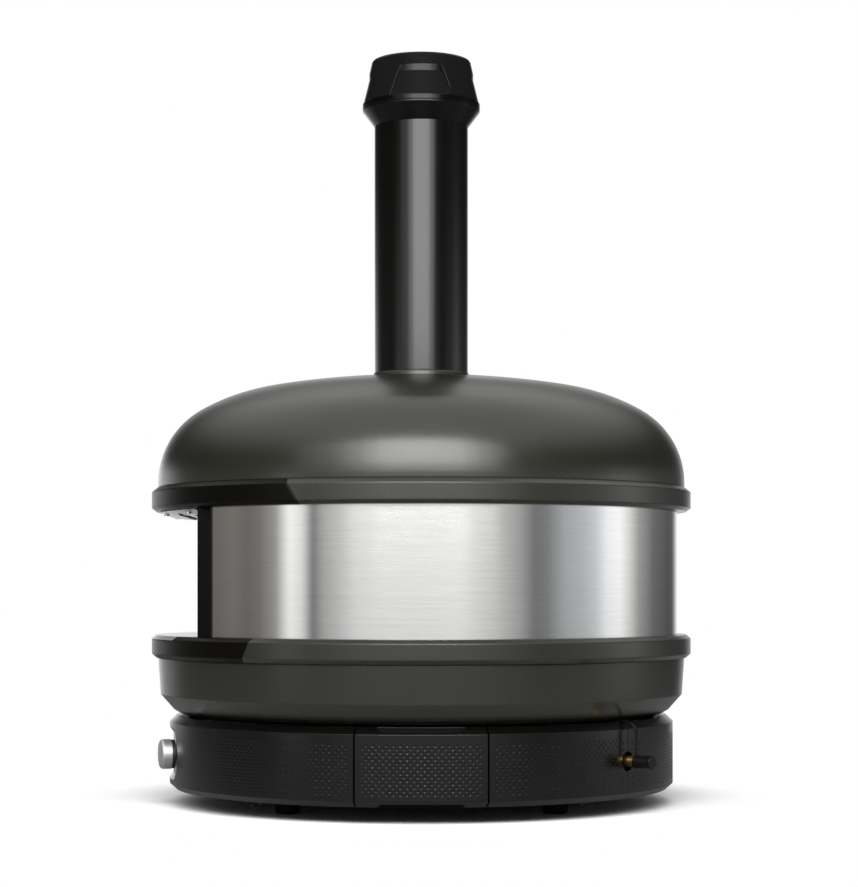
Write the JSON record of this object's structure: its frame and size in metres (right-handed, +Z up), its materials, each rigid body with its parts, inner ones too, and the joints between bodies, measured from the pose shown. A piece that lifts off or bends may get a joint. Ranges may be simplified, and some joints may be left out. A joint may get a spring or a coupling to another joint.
{
  "type": "portable pizza oven",
  "caption": "Round gas pizza oven with a domed hood, a stainless band, a low dimpled base and a tall lift-off flue with a turning damper cap.",
  "frame": {"origin": "on the floor, on the axis of the dome and the flue", "axes": "+Z up along the flue, -Y out of the mouth, +X to the right as seen from the front"},
  "size_m": [0.6424, 0.6424, 0.886],
  "materials": {
    "casing_grey": "satin",
    "front_black": "satin",
    "flue_black": "satin",
    "base_black": "matte",
    "stainless": "satin",
    "plain_steel": "satin",
    "brass": "satin",
    "black_rubber": "matte",
    "knob_black": "matte",
    "hearth_stone": "matte",
    "fibre_blanket": "matte",
    "electrode_ceramic": "matte"
  },
  "bodies": {
    "oven": {"outer_dome": "casing_grey", "lower_casing": "casing_grey", "upper_rim_rear": "casing_grey", "lower_rim_rear": "casing_grey", "canopy_front": "front_black", "lower_rim_front": "front_black", "mouth_frame": "front_black", "base_pan": "base_black", "base_top_plate": "base_black", "front_panel": "base_black", "rear_panel": "base_black", "right_front_panel": "base_black", "right_rear_panel": "base_black", "left_front_panel": "base_black", "left_rear_panel": "base_black", "body_band": "stainless", "landing_plate": "stainless", "canopy_lining": "stainless", "control_plate": "stainless", "mouth_liner": "stainless", "inner_dome": "stainless", "hearth_tray": "stainless", "flue_collar": "stainless", "burner_tube": "stainless", "venturi_tube": "stainless", "base_fasteners": "plain_steel", "stand_clips": "plain_steel", "heat_spacers": "plain_steel", "panel_pads": "plain_steel", "canopy_screws": "plain_steel", "valve_spring": "plain_steel", "supply_pipe": "plain_steel", "gas_pipe": "plain_steel", "inlet_lock_nut": "plain_steel", "inlet_elbow": "brass", "inlet_nipple": "brass", "valve_body": "brass", "valve_bonnet": "brass", "gas_jet": "brass", "foot_right_front": "black_rubber", "foot_right_rear": "black_rubber", "foot_left_front": "black_rubber", "foot_left_rear": "black_rubber", "hearth_stone": "hearth_stone", "insulation": "fibre_blanket", "igniter_electrode": "electrode_ceramic"},
    "valve_plug": {"valve_plug": "brass"},
    "knob": {"valve_spindle": "plain_steel", "control_knob": "stainless", "knob_collar": "knob_black"},
    "flue": {"flue_pipe": "flue_black", "flue_cowl": "flue_black", "damper_plate": "flue_black", "damper_rivet": "plain_steel"},
    "flue_cap": {"flue_cap": "flue_black", "damper_rotor": "flue_black"},
    "dust_cap": {"dust_cap": "black_rubber", "cap_tether": "black_rubber"},
    "right_panel": {"right_panel": "base_black"},
    "left_panel": {"left_panel": "base_black"}
  },
  "joints": [
    {"name": "gas_valve", "type": "hinge", "parent": "oven", "child": "valve_plug", "pos_m": [0.06259, -0.24204, 0.0619], "axis": [0.2504, -0.9681, 0], "range_deg": [0, 210]},
    {"name": "knob_push", "type": "slide", "parent": "valve_plug", "child": "knob", "axis": [-0.2504, 0.9681, 0], "range_m": [0, 0.002], "stiffness_N_per_m": 900},
    {"name": "flue_lift", "type": "slide", "parent": "oven", "child": "flue", "axis": [0, 0, 1], "range_m": [0, 0.04]},
    {"name": "cap_turn", "type": "hinge", "parent": "flue", "child": "flue_cap", "pos_m": [0, 0, 0.83], "axis": [0, 0, 1], "range_deg": [0, 45]},
    {"name": "dust_cap_pull", "type": "slide", "parent": "oven", "child": "dust_cap", "axis": [0.6388, 0.7694, 0], "range_m": [0, 0.025]},
    {"name": "right_panel_pull", "type": "slide", "parent": "oven", "child": "right_panel", "axis": [1, 0, 0], "range_m": [0, 0.03]},
    {"name": "left_panel_pull", "type": "slide", "parent": "oven", "child": "left_panel", "axis": [-1, 0, 0], "range_m": [0, 0.03]}
  ]
}
